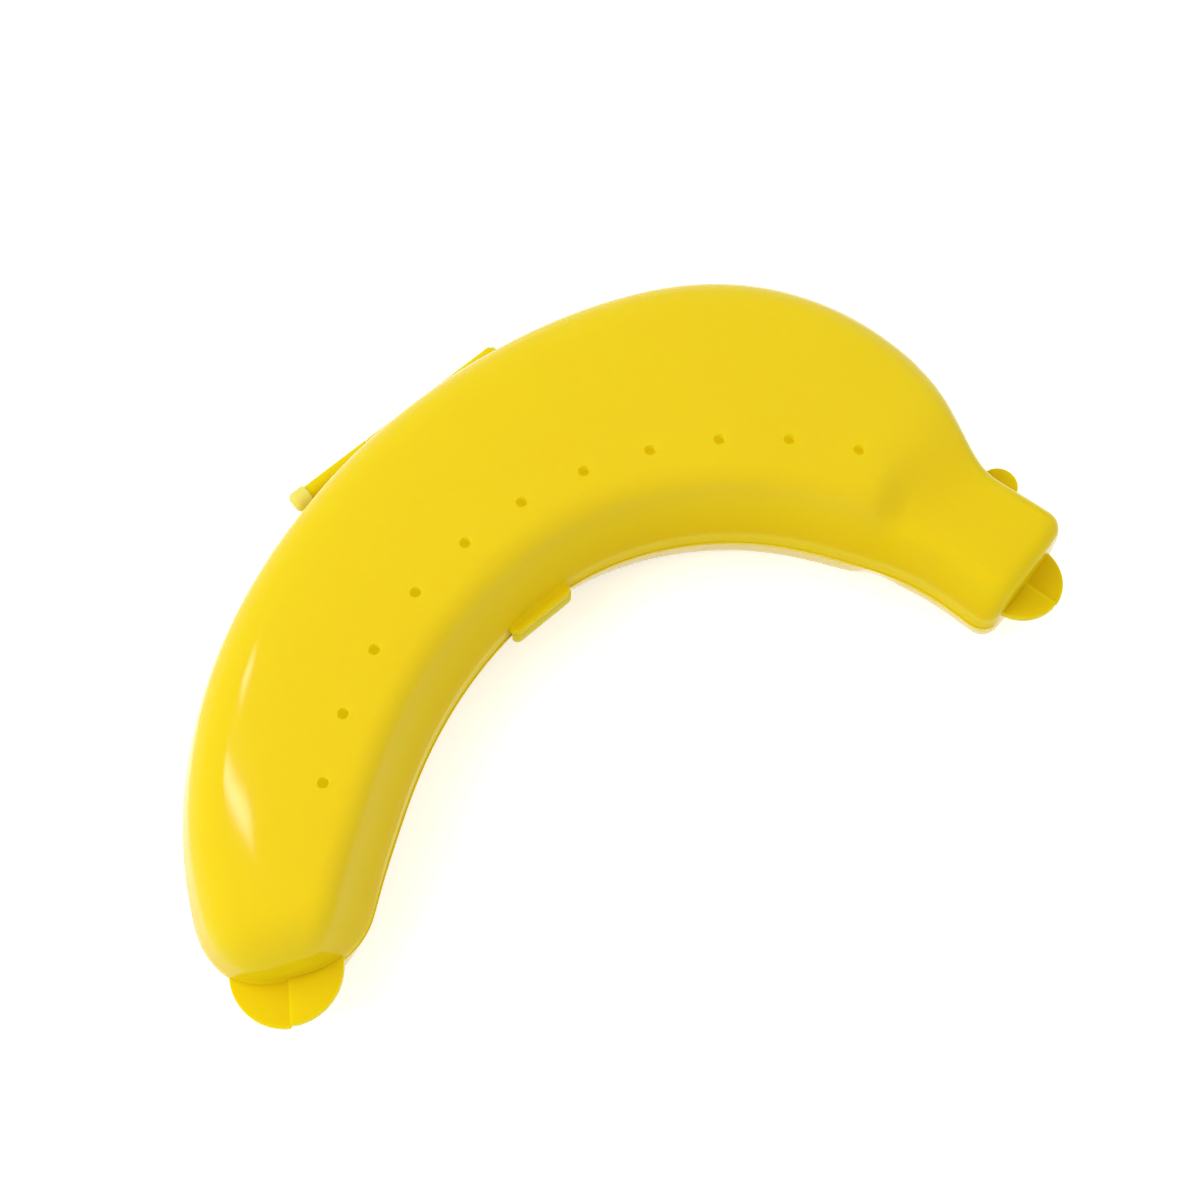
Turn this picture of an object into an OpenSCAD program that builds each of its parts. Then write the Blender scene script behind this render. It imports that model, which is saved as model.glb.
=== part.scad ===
// Banana carrying case: two curved moulded shells on a pin hinge, closed by a snap tongue.
// Millimetres. The case lies on its lower shell: X runs along the hinge pin towards the stem,
// Y points to the hinge, Z is up. The origin is on the rest face, midway between two vents.

/* [Case body] */
// Radius of the vent row about the bend centre
bend_r = 103; // [100:0.5:106]
// Depth of one shell, from its rim to its flat
shell_depth = 24; // [22:0.5:26]
// Wall thickness
wall = 1.6; // [1.2:0.1:2]
// Gap between the two rims when closed
rim_gap = 0.3; // [0.3:0.05:0.5]
// Height of the upright band along the rim
rim_band = 3; // [2.9:0.1:3.6]
// How far the rim band stands back from the wall
rim_reveal = 0.4; // [0.3:0.05:0.6]
// Lean of the side walls, from upright, in degrees
wall_lean = 17; // [14:0.5:19]
// Shoulder radius on the outer side of the bend
shoulder_r = 14; // [11:0.5:15]
// Shoulder radius on the inner side of the bend
inner_shoulder_r = 7; // [5:0.5:8]
// Fall of the crown from the flat to the outer shoulder
crown = 1.8; // [1:0.1:2.4]
// Half width of the flat strip that carries the vents
flat_half = 3; // [2.4:0.1:3.4]

/* [Outline] */
// Rim width where the tip begins to close
tip_width = 43.4; // [42:0.5:46]
// Rim width at the hinge
hinge_width = 62.3; // [60:0.5:65]
// Rim width at the widest place, in the stem half
full_width = 70.6; // [68:0.5:74]
// Rim width of the stem
stem_width = 36.4; // [34:0.5:38]
// Depth of the stem part of one shell
stem_depth = 16.5; // [15:0.5:18]
// Shoulder radius on the inner side of the stem
stem_shoulder_r = 4; // [3:0.25:6]
// Straight length of the stem
stem_length = 9; // [7:0.5:11]
// Corner radius at the end of the stem
stem_round = 5; // [3:0.25:6]
// Length over which the tip closes
tip_round = 18; // [15:0.5:22]

/* [Vents] */
// Number of vents in each shell
vent_count = 11; // [7:2:11]
// Vent diameter
vent_d = 2.8; // [2:0.1:3.2]
// Angle between vents at the bend centre
vent_step = 9.62; // [8:0.01:9.7]

/* [Hinge] */
// Length of the hinge barrel
barrel_length = 62; // [56:1:64]
// Middle of the barrel along the hinge line
barrel_mid = 6.6; // [4.6:0.5:9.6]
// Outer diameter of the knuckles
knuckle_d = 4.4; // [4.2:0.1:4.6]
// Pin diameter
pin_d = 2.2; // [1.8:0.1:2.4]
// Radial clearance of the pin in the upper knuckle
pin_play = 0.05; // [0.03:0.01:0.1]
// Gap between neighbouring knuckles
knuckle_gap = 0.4; // [0.3:0.05:0.6]
// Clearance between a knuckle and the other shell
hinge_clear = 0.4; // [0.35:0.05:0.6]
// Distance from the fullest part of the wall to the pin axis
hinge_stand = 0.25; // [0.2:0.05:0.5]
// Diameter of the pin's button head
head_d = 5.6; // [5:0.1:5.8]
// Length of the pin's button head
head_length = 4.9; // [4:0.1:5.5]
// Diameter of the pin's flattened tail
tail_d = 3.2; // [2.8:0.1:3.6]

/* [Tabs and latch] */
// Radius of the thumb tabs at the tip
tip_tab_r = 13.6; // [12:0.1:14]
// Radius of the thumb tabs at the stem
stem_tab_r = 11; // [9:0.1:11.5]
// Slit between the two tabs of a pair
tab_slit = 1.2; // [1:0.1:1.6]
// Corner radius of the tabs beside the slit
tab_round = 0.8; // [0.5:0.1:1.2]
// Thickness of tabs and ear
tab_t = 2; // [1.6:0.1:2.4]
// Radius of the neck ear
ear_r = 5; // [4.6:0.1:5.6]
// Width of the snap tongue
tongue_width = 19; // [16:0.5:21]
// How far the tongue hangs below the parting plane
tongue_drop = 4.6; // [4:0.1:6]
// Thickness of the tongue
tongue_t = 1.6; // [1.4:0.1:2]
// Height of the ridge on the inside of the tongue
ridge_h = 0.4; // [0.3:0.05:0.5]
// Clearance between the tongue and the lower shell
latch_clear = 0.3; // [0.3:0.05:0.5]
// Middle of the tongue along the hinge line
tongue_mid = -0.9; // [-3.4:0.5:2.6]

/* [Hidden] */
$fn = 48;
yellow = [0.93, 0.81, 0.1];
pale_yellow = [0.95, 0.87, 0.3];

// Angles at the bend centre, counted from X towards Y
origin_a = 87.31;
mid_vent_a = origin_a - vent_step / 2;
tip_a = 152.2;
stem_a = 10.8;
neck_low_a = 21;
neck_high_a = 31;
degree_per_mm = 180 / (PI * bend_r);
stem_end_a = stem_a - stem_length * degree_per_mm;
centre = [-bend_r * cos(origin_a), -bend_r * sin(origin_a)];
parting = shell_depth + rim_gap / 2;
// Overlap that joins two shapes of one solid
overlap = 0.1;

// Distance from the vent row to the rim on the inner side of the bend, by angle
rim_inner = [
    [stem_end_a, 0.518 * stem_width],
    [20, 0.49 * stem_width],
    [32, 0.256 * full_width],
    [53, 0.226 * full_width],
    [75, 0.246 * hinge_width],
    [100, 0.281 * hinge_width],
    [117, 0.283 * hinge_width],
    [132, 0.364 * tip_width],
    [145, 0.26 * tip_width],
    [tip_a, 0.233 * tip_width]
];
// Distance from the vent row to the rim on the outer side of the bend, by angle
rim_outer = [
    [stem_end_a, 0.415 * stem_width],
    [13, 0.4 * stem_width],
    [18.5, 0.425 * stem_width],
    [22.7, 0.588 * stem_width],
    [27.7, 0.45 * full_width],
    [35.2, 0.609 * full_width],
    [45, 0.728 * full_width],
    [54, 0.765 * full_width],
    [65, 0.734 * full_width],
    [80, 0.762 * hinge_width],
    [100, 0.692 * hinge_width],
    [120, 0.637 * hinge_width],
    [135, 0.816 * tip_width],
    [145, 0.728 * tip_width],
    [tip_a, 0.705 * tip_width]
];

function slope(p, i) =
    let (a = max(i - 1, 0), b = min(i + 1, len(p) - 1))
    (p[b][1] - p[a][1]) / (p[b][0] - p[a][0]);
function span(p, x, i = 0) = i >= len(p) - 2 || x <= p[i + 1][0] ? i : span(p, x, i + 1);
// Smooth curve through a list of [position, value]
function smooth_at(p, x) =
    let (i = span(p, x), w = p[i + 1][0] - p[i][0], t = (x - p[i][0]) / w)
    p[i][1] * (2 * t^3 - 3 * t^2 + 1) + slope(p, i) * w * (t^3 - 2 * t^2 + t)
    + p[i + 1][1] * (3 * t^2 - 2 * t^3) + slope(p, i + 1) * w * (t^3 - t^2);
function limit(x, low, high) = min(max(x, low), high);
function ease(t) = let (c = limit(t, 0, 1)) c * c * (3 - 2 * c);

// Point in plan at a station angle and a distance outside the vent row
function plan_point(q, off) =
    let (a = max(q, stem_a), along = (a - q) / degree_per_mm)
    centre + (bend_r + off) * [cos(a), sin(a)] + along * [sin(a), -cos(a)];

// Hinge line, set by the fullest part of the outer wall, and the flat that recesses the knuckles
hinge_side = [70:1:110];
recess_from = 55;
recess_to = 125;
wall_reach = max([for (q = hinge_side) (bend_r + smooth_at(rim_outer, q)) * sin(q)]);
hinge_y = centre[1] + wall_reach + hinge_stand;
hinge_flat = wall_reach + hinge_stand - knuckle_d / 2 - hinge_clear;
function flat_limit(q) =
    q > recess_from && q < recess_to ? hinge_flat / sin(q) - bend_r : bend_r;

// Depth at an angle and an offset: the fall to the stem runs aslant across the neck
slant_inner = -13;
slant_outer = 8;
low_slant = 0.46;
high_slant = 0.25;
function depth_at(q, off) =
    let (
        side = limit(off, slant_inner, slant_outer),
        low = neck_low_a - low_slant * side,
        high = neck_high_a - high_slant * max(side, 0)
    )
    stem_depth + (shell_depth - stem_depth) * ease((q - low) / (high - low));

// Stations from the stem end to the tip, closer together where the shape turns quickly
tip_mid = 10;
tip_steps = [18, 13, 9.5, 6.5, 4, 2.2, 1, 0.3];
stem_steps = [for (share = [0, 0.06, 0.25, 0.57, 1]) share * stem_round];
stem_stations = [9.5:2.5:14.5];
neck_stations = [16.5:1.5:36];
body_stations = [40:4:140];
stations = concat(
    [for (d = stem_steps) stem_end_a + d * degree_per_mm],
    [for (q = stem_stations) q],
    [for (q = neck_stations) q],
    [for (q = body_stations) q],
    [for (d = tip_steps) tip_a - d * 180 / (PI * (bend_r + tip_mid))]
);
// The same station, moved along the case so that an inset skin ends one inset earlier
function inset_station(q, inset) =
    let (cut = inset * degree_per_mm)
    stem_end_a + cut + (q - stem_end_a) * (tip_a - stem_end_a - 2 * cut) / (tip_a - stem_end_a);

// Share of the full size that is left near the closed tip
tip_power = 2.4;
tip_low = 0.8;
tip_least = 0.01;
function closing(d, reach) =
    (1 - (1 - limit(d / reach, tip_least / reach, 1))^tip_power)^(1 / tip_power);

// Section of one shell from the outer rim over the top to the inner rim, as [offset, height]
inner_steps = 5;
outer_steps = 6;
crown_steps = 4;
// Share of the crown, and of the outer shoulder radius, that the stem keeps
stem_crown = 0.3;
stem_shoulder = 0.4;
// Share of the shoulder radius by which the crown stops short of the rim
crown_stop = 0.9;
// Past the last vent the inner edge of the flat strip moves outwards, so that the tip stays round
strip_from = 133;
strip_to = 148;
strip_shift = 5;
function section(q0, inset) =
    let (
        q = inset_station(q0, inset),
        from_stem = (q - stem_end_a) / degree_per_mm - inset,
        from_tip = (tip_a - q) * PI * (bend_r + tip_mid) / 180 - inset,
        edge = max(stem_round - from_stem, 0),
        pinch = inset + stem_round - sqrt(max(stem_round^2 - edge^2, 0)),
        fall_q = q - inset * degree_per_mm,
        body = ease((fall_q - neck_low_a) / (neck_high_a - neck_low_a)),
        top = depth_at(fall_q, 0) - pinch,
        foot = rim_band + inset,
        out = smooth_at(rim_outer, q) - pinch,
        in = smooth_at(rim_inner, q) - pinch,
        out_rim = min(out - rim_reveal, flat_limit(q) - inset),
        in_rim = in - rim_reveal,
        fall = crown * (stem_crown + (1 - stem_crown) * body),
        r_out = shoulder_r * (stem_shoulder + (1 - stem_shoulder) * body) - inset,
        tilt = atan(2 * fall / (out - flat_half - crown_stop * r_out)),
        z_out = top - fall - r_out * cos(tilt),
        x_out = out - (z_out + r_out * sin(wall_lean) - foot) * tan(wall_lean) - r_out * cos(wall_lean),
        end_out = x_out + r_out * sin(tilt),
        strip_in = flat_half - strip_shift * ease((q - strip_from) / (strip_to - strip_from)),
        r_most = (in - strip_in - (top - foot) * tan(wall_lean))
            / (cos(wall_lean) - tan(wall_lean) * (1 - sin(wall_lean))),
        r_in = min(r_most, stem_shoulder_r + (inner_shoulder_r - stem_shoulder_r) * body - inset),
        z_in = top - r_in,
        x_in = in - (z_in + r_in * sin(wall_lean) - foot) * tan(wall_lean) - r_in * cos(wall_lean),
        mid = (out - in) / 2,
        narrow = closing(from_tip, tip_round - inset),
        low = closing(from_tip, tip_low * tip_round - inset),
        upper = concat(
            [[out, foot]],
            [for (k = [0:outer_steps])
                let (a = wall_lean + (90 - tilt - wall_lean) * k / outer_steps)
                [x_out + r_out * cos(a), z_out + r_out * sin(a)]],
            [for (k = [1:crown_steps - 1])
                let (t = 1 - k / crown_steps)
                [flat_half + (end_out - flat_half) * t, top - fall * t^2]],
            [[flat_half, top]],
            [for (k = [inner_steps:-1:0])
                let (a = wall_lean + (90 - wall_lean) * k / inner_steps)
                [-x_in - r_in * cos(a), z_in + r_in * sin(a)]],
            [[-in, foot]]
        ),
        closed = [for (p = upper)
            let (slant = (depth_at(fall_q, p[0]) - pinch - foot) / (top - foot))
            [mid + (p[0] - mid) * narrow, foot + (p[1] - foot) * slant * low]],
        rim_out = mid + (out_rim - mid) * narrow,
        rim_in = mid - (in_rim + mid) * narrow
    )
    concat([[rim_out, 0], [rim_out, foot]], closed, [[rim_in, foot], [rim_in, 0]]);

// Points of one skin, station by station
function skin(inset) = [
    for (q = stations)
        let (s = section(q, inset), a = inset_station(q, inset))
        for (p = s) let (xy = plan_point(a, p[0])) [xy[0], xy[1], p[1]]
];
// Outline of the rim in plan, inset into the wall
function rim_outline(inset) =
    let (ends = [for (q = stations)
        let (s = section(q, inset), a = inset_station(q, inset))
        [plan_point(a, s[0][0]), plan_point(a, s[len(s) - 1][0])]])
    concat([for (e = ends) e[0]], [for (k = [len(ends) - 1:-1:0]) ends[k][1]]);

// Triangles that close one end of a skin with m points to a station
function end_cap(m) = [
    for (k = [0:(m - 3) / 2])
        for (t = [[k, k + 1, m - 1 - k], [k + 1, m - 2 - k, m - 1 - k]])
            if (t[0] < t[1] && t[1] < t[2]) t
];
function shifted(t, by) = [for (k = t) k + by];
function flipped(t) = [t[2], t[1], t[0]];

// One shell with its rim on the XY plane and its vents cut
module half_shell() {
    outer = skin(0);
    inner = skin(wall);
    n = len(stations);
    m = len(section(stations[0], 0));
    base = n * m;
    strips = [for (i = [0:n - 2]) for (k = [0:m - 2])
        [i * m + k, i * m + k + 1, (i + 1) * m + k + 1, (i + 1) * m + k]];
    faces = concat(
        [for (f = strips) for (t = [[f[0], f[1], f[2]], [f[0], f[2], f[3]]]) t],
        [for (f = strips) for (t = [[f[2], f[1], f[0]], [f[3], f[2], f[0]]])
            [t[0] + base, t[1] + base, t[2] + base]],
        [for (t = end_cap(m)) flipped(t)],
        [for (t = end_cap(m)) shifted(t, (n - 1) * m)],
        [for (t = end_cap(m)) shifted(t, base)],
        [for (t = end_cap(m)) flipped(shifted(t, base + (n - 1) * m))],
        [for (i = [0:n - 2]) [i * m, (i + 1) * m, base + (i + 1) * m, base + i * m]],
        [for (i = [0:n - 2])
            [base + i * m + m - 1, base + (i + 1) * m + m - 1, (i + 1) * m + m - 1, i * m + m - 1]],
        [[m - 1, 0, base, base + m - 1]],
        [[(n - 1) * m, n * m - 1, base + n * m - 1, base + (n - 1) * m]]
    );
    difference() {
        polyhedron(points = concat(outer, inner), faces = faces);
        for (k = [0:vent_count - 1]) {
            xy = plan_point(mid_vent_a + (k - (vent_count - 1) / 2) * vent_step, 0);
            translate([xy[0], xy[1], shell_depth - 2 * wall])
                cylinder(d = vent_d, h = 4 * wall);
        }
    }
}

// Flat plate outside the rim: the children in plan, cut along the middle of the wall
module rim_plate(low, high) {
    translate([0, 0, low])
        linear_extrude(high - low)
            difference() {
                children();
                polygon(rim_outline(wall / 2));
            }
}

// Part of a round thumb tab in plan, between two distances from the middle of its slit
module part_tab(q, off, r, turn, low, high) {
    translate(plan_point(q, off))
        rotate(turn)
            offset(tab_round)
                offset(-tab_round)
                    intersection() {
                        circle(r);
                        translate([-r, low])
                            square([2 * r, high - low]);
                    }
}
tip_tab_a = tip_a - 1.5;
tip_tab_off = 11;
tip_tab_turn = tip_a - 98;
stem_tab_off = -2.3;
stem_tab_back = 1.8;
stem_tab_a = stem_end_a + stem_tab_back * degree_per_mm;
stem_tab_turn = stem_a - 90;
tab_foot = 0.1;

// Knuckle along the hinge line with its web, for a shell that has its rim on the XY plane
bore_extra = 1;
web_reach = 4 * knuckle_d;
module knuckle(x0, x1) {
    translate([x0, hinge_y, -rim_gap / 2])
        rotate([0, 90, 0])
            cylinder(d = knuckle_d, h = x1 - x0);
    rim_plate(tab_foot, knuckle_d / 2 - rim_gap)
        translate([x0, hinge_y - web_reach])
            square([x1 - x0, web_reach]);
}
module bore(x0, x1, r) {
    translate([x0 - bore_extra, hinge_y, -rim_gap / 2])
        rotate([0, 90, 0])
            cylinder(r = r, h = x1 - x0 + 2 * bore_extra);
}
barrel_start = barrel_mid - barrel_length / 2;
barrel_end = barrel_mid + barrel_length / 2;
knuckle_length = (barrel_length - 2 * knuckle_gap) / 3;
middle_start = barrel_start + knuckle_length + knuckle_gap;
middle_end = middle_start + knuckle_length;

// Neck ear, on the outer side of the stem
ear_a = 16.4;
ear_off = 0.471 * stem_width;

// Snap tongue: its inner face clears the widest part of the wall by the ridge and the clearance
tongue_start = tongue_mid - tongue_width / 2;
tongue_end = tongue_mid + tongue_width / 2;
tongue_side = [70:1:105];
tongue_margin = 2;
tongue_reach = min([for (q = tongue_side)
    let (p = plan_point(q, -smooth_at(rim_inner, q)))
    p[0] > tongue_start - tongue_margin && p[0] < tongue_end + tongue_margin ? p[1] : bend_r]);
tongue_y = tongue_reach - latch_clear - ridge_h;
tongue_top = 0.9;
tongue_slot = 0.3;
tongue_round = 2;
ridge_up = 0.8;
ledge_low = tongue_top + tongue_slot - rim_gap / 2;
ledge_high = rim_band - 0.2;
ledge_reach = 4;
bead_r = 0.6;
bead_length = 0.5 * tongue_width;
bead_depth = 1.6;
bead_a = acos((tongue_mid - centre[0]) / (bend_r - smooth_at(rim_inner, 90)));
bead_y = plan_point(bead_a, rim_reveal - smooth_at(rim_inner, bead_a))[1];

// Plan of the latch, with round outer corners, for the tongue and the ledge above it
module latch_plan() {
    translate([tongue_start, tongue_y - tongue_t + tongue_round])
        square([tongue_width, tongue_t + ledge_reach - tongue_round]);
    translate([tongue_start + tongue_round, tongue_y - tongue_t])
        square([tongue_width - 2 * tongue_round, tongue_round + overlap]);
    for (x = [tongue_start + tongue_round, tongue_end - tongue_round]) {
        translate([x, tongue_y - tongue_t + tongue_round])
            circle(tongue_round);
    }
}

module lower_shell() {
    color(yellow)
        translate([0, 0, parting - rim_gap / 2])
            mirror([0, 0, 1])
                difference() {
                    union() {
                        half_shell();
                        rim_plate(tab_foot, tab_foot + tab_t) {
                            part_tab(tip_tab_a, tip_tab_off, tip_tab_r, tip_tab_turn,
                                -tab_slit / 2, tip_tab_r);
                            part_tab(stem_tab_a, stem_tab_off, stem_tab_r, stem_tab_turn,
                                tab_slit / 2, stem_tab_r);
                        }
                        rim_plate(tab_foot, tab_foot + tab_t) {
                            translate(plan_point(ear_a, ear_off))
                                circle(ear_r);
                        }
                        knuckle(barrel_start, middle_start - knuckle_gap);
                        knuckle(middle_end + knuckle_gap, barrel_end);
                        translate([tongue_mid - bead_length / 2, bead_y, bead_depth])
                            rotate([0, 90, 0])
                                cylinder(r = bead_r, h = bead_length);
                    }
                    bore(barrel_start, middle_start, pin_d / 2);
                    bore(middle_end, barrel_end, pin_d / 2);
                }
}

module upper_shell() {
    color(yellow)
        translate([0, 0, parting + rim_gap / 2])
            difference() {
                union() {
                    half_shell();
                    rim_plate(tab_foot, tab_foot + tab_t) {
                        part_tab(tip_tab_a, tip_tab_off, tip_tab_r, tip_tab_turn,
                            -tip_tab_r, -tab_slit / 2);
                        part_tab(stem_tab_a, stem_tab_off, stem_tab_r, stem_tab_turn,
                            -stem_tab_r, -tab_slit / 2);
                    }
                    rim_plate(ledge_low, ledge_high) {
                        latch_plan();
                    }
                    knuckle(middle_start, middle_end);
                }
                bore(middle_start, middle_end, pin_d / 2 + pin_play);
            }
}

// Pin with a rounded button head at the tip end and a flattened tail that keeps it in
tail_length = 1;
head_round = 1.6;
module hinge_pin() {
    color(pale_yellow)
        translate([barrel_start, hinge_y, parting])
            rotate([0, 90, 0])
                rotate_extrude() {
                    translate([0, -head_length + head_round])
                        square([head_d / 2, head_length - head_round]);
                    translate([0, -head_length])
                        square([head_d / 2 - head_round, head_round + overlap]);
                    intersection() {
                        translate([head_d / 2 - head_round, -head_length + head_round])
                            circle(head_round);
                        translate([0, -head_length])
                            square([head_d, head_round + overlap]);
                    }
                    translate([0, -overlap])
                        square([pin_d / 2, barrel_length + 2 * overlap]);
                    translate([0, barrel_length])
                        square([tail_d / 2, tail_length]);
                }
}

// Snap tongue, with a round root on the line that it bends about
tongue_low = parting - tongue_drop;
tongue_root = tongue_drop + tongue_top - tongue_t / 2;
module tongue_plate() {
    translate([tongue_start, tongue_y, tongue_low]) {
        rotate([90, 0, 0])
            linear_extrude(tongue_t)
                union() {
                    translate([0, tongue_round])
                        square([tongue_width, tongue_root - tongue_round]);
                    translate([tongue_round, 0])
                        square([tongue_width - 2 * tongue_round, tongue_round + overlap]);
                    for (x = [tongue_round, tongue_width - tongue_round]) {
                        translate([x, tongue_round])
                            circle(tongue_round);
                    }
                }
        translate([0, -tongue_t / 2, tongue_root])
            rotate([0, 90, 0])
                cylinder(d = tongue_t, h = tongue_width);
    }
}
module latch_tongue() {
    color(yellow)
        union() {
            intersection() {
                tongue_plate();
                translate([0, 0, tongue_low - overlap])
                    linear_extrude(tongue_root + tongue_t)
                        latch_plan();
            }
            translate([tongue_start + tongue_round, tongue_y, tongue_low + ridge_up])
                rotate([0, 90, 0])
                    cylinder(r = ridge_h, h = tongue_width - 2 * tongue_round);
        }
}

lower_shell();
upper_shell();
hinge_pin();
latch_tongue();
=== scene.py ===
import math

import bmesh
import bpy
from bpy.props import FloatProperty, FloatVectorProperty, PointerProperty
from mathutils import Matrix, Vector


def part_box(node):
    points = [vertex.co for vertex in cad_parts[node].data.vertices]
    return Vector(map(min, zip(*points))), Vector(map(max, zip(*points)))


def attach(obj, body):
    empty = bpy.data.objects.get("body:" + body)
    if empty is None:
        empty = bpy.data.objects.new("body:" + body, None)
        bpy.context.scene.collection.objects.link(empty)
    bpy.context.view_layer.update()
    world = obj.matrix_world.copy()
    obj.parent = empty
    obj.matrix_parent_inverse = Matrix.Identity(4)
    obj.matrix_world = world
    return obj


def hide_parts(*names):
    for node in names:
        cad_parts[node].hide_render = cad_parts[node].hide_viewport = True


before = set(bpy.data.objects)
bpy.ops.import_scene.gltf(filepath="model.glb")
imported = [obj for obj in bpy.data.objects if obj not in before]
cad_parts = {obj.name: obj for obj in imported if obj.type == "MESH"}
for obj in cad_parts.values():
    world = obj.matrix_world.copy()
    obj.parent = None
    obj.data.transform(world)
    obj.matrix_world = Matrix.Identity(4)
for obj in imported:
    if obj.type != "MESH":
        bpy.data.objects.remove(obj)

bl_info = {
    "name": "Banana Carrying Case",
    "version": (1, 0, 0),
    "blender": (4, 5, 0),
    "location": "View3D > Sidebar > Case",
    "description": "Builds a hinged, vented banana carrying case and a plain studio for it",
    "category": "Add Mesh",
}

# Angles at the bend centre in degrees, counted from X towards Y
ORIGIN_ANGLE = 87.31
STEM_ANGLE = 10.8
NECK_LOW = 21
NECK_HIGH = 31
TIP_ANGLE = 152.2
VENT_STEP = 9.62
VENT_COUNT = 11
FIRST_VENT = ORIGIN_ANGLE - VENT_STEP * (VENT_COUNT + 1) / 2
RECESS_FROM = 55
RECESS_TO = 125

# Two points nearer than this are one point
EXACT = 1e-6

# Steps of one section: outer shoulder, crown and inner shoulder
OUTER_STEPS = 6
CROWN_STEPS = 3
INNER_STEPS = 5
STRIP_COLUMN = 3 + OUTER_STEPS + CROWN_STEPS

# Shape of the neck, the stem and the tip
STEM_CROWN = 0.3
STEM_SHOULDER = 0.4
CROWN_STOP = 0.9
SLANT_INNER = -0.013
SLANT_OUTER = 0.008
LOW_SLANT = 460
HIGH_SLANT = 250
STRIP_FROM = 133
STRIP_TO = 148
STRIP_SHIFT = 0.005
TIP_MID = 0.01
TIP_POWER = 2.4
TIP_LOW = 0.8
TIP_LEAST = 0.0005

# Stations of the shells: shares of the stem's corner, angles over the neck, shares of the tip's closing
STEM_SHARES = (0, 0.06, 0.28, 0.6, 1)
NECK_STATIONS = (10.5, 13.5, 16, 18, 20, 22, 24, 26, 28, 30)
TIP_SHARES = (1, 0.72, 0.53, 0.36, 0.22, 0.12, 0.055, 0.015)

# Sharpness of the smoothed edges: the step above the rim band, and the wall's outer and inner edges
STEP_CREASE = 0.8
OUTER_CREASE = 0.7
INNER_CREASE = 0.9

# A square ring becomes two thirds as wide when it is smoothed
RING_WIDENING = 1.5

# Places of the tabs and the ear, as angle and offset from the vent row
TIP_TAB_ANGLE = TIP_ANGLE - 1.5
TIP_TAB_OFFSET = 0.011
TIP_TAB_TURN = math.radians(TIP_ANGLE - 98)
STEM_TAB_OFFSET = -0.0023
STEM_TAB_BACK = 0.0018
STEM_TAB_TURN = math.radians(STEM_ANGLE - 90)
EAR_ANGLE = 16.4
EAR_OFFSET = 0.471
TAB_FOOT = 0.0001

# Share of the wall's thickness that tabs, ear and ledge reach into
ROOT_SHARE = 0.9

# Angles between which the step above the rim band comes down to the tip tabs
TIP_ROOT_FROM = 140
TIP_ROOT_TO = 145

# Hollow slope from the latch ledge up to the wall: shares at which it is cut across, and how it rises
SLOPE_CUTS = (0, 0.35, 0.7)
SLOPE_POWER = 1.5

# Rounding of the tongue's face as a share of its thickness
TONGUE_ROUND = 0.9

# Finish and painted shade of the plastic by height from the parting line, which counts less on the lower
# side
LOWER_SHARE = 0.5
# Painted shade: the darker, warmer yellow near the parting line fades out between these heights
SHADE_HEIGHTS = (0.003, 0.014)
SHADE_SHARES = (0.3, 0.0)
BAND_HEIGHTS = (0.0022, 0.0035)
GLOSS_HEIGHTS = (0.01, 0.022)
GLOSS_SHARES = (0.0, 0.26)

# Light in the plastic: refraction, shine under the gloss, and how far red, green and blue travel
PLASTIC_IOR = 1.45
BASE_SHINE = 0.03
LIGHT_SPREAD = (0.8, 0.65, 0.08)
LIGHT_DEPTH = 0.002

# Lamps of the studio: name, place, size, power in watts, and whether the gloss shows them
LAMPS = (
    ("key", (-0.45, 0.15, 0.75), (0.5, 0.5), 2.75, False),
    ("fill", (0.8, -0.2, 0.57), (0.3, 0.2), 0.45, False),
    ("window_left", (-0.32, 0.63, 1.03), (0.06, 0.26), 1.3, True),
    ("window_right", (-0.18, 0.77, 0.97), (0.06, 0.12), 0.5, True),
)
WORLD_LIGHT = 0.61
FLOOR_GLOW = 0.55
FLOOR_HALF = 3
FLOOR_DROP = 0.0002

# Camera of the photograph, which has a square picture
CAMERA_LENS = 61.64
CAMERA_SENSOR = 36
CAMERA_PLACE = (-0.11499, -0.17057, 0.5026)
CAMERA_TARGET = (0.00604, -0.03263, 0.0483)


def length(name, text, value):
    """A length in metres for a property group"""
    return FloatProperty(
        name=name,
        description=text,
        default=value,
        min=0,
        unit="LENGTH",
        precision=5,
    )


def colour(name, text, value):
    """A linear colour for a property group"""
    return FloatVectorProperty(
        name=name,
        description=text,
        default=value,
        size=3,
        min=0,
        max=1,
        subtype="COLOR",
    )


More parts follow.
